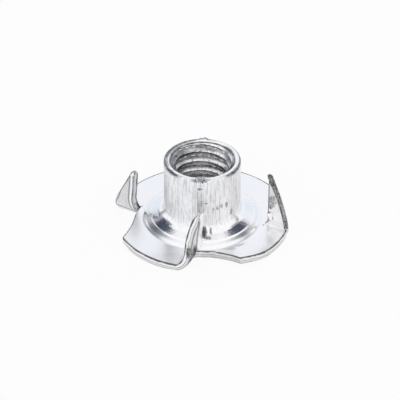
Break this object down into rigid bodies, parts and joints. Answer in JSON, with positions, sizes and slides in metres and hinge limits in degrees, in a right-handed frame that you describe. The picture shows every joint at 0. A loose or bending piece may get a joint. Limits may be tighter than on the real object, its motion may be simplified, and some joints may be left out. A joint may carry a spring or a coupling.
{
  "type": "tee nut",
  "caption": "Pronged tee nut stamped in one piece: round flange, drawn barrel with a threaded bore, and triangular prongs bent up round the rim to bite into wood.",
  "frame": {"origin": "centre of the flange's flat underside, on the axis of the thread", "axes": "+Z along the thread, from the flange towards the rim of the barrel; the prongs point to +Z"},
  "size_m": [0.022, 0.0218, 0.0097],
  "materials": {
    "zinc_steel": "bright zinc plate over stamped steel"
  },
  "bodies": {
    "root": {"tee_nut": "zinc_steel"}
  },
  "joints": []
}
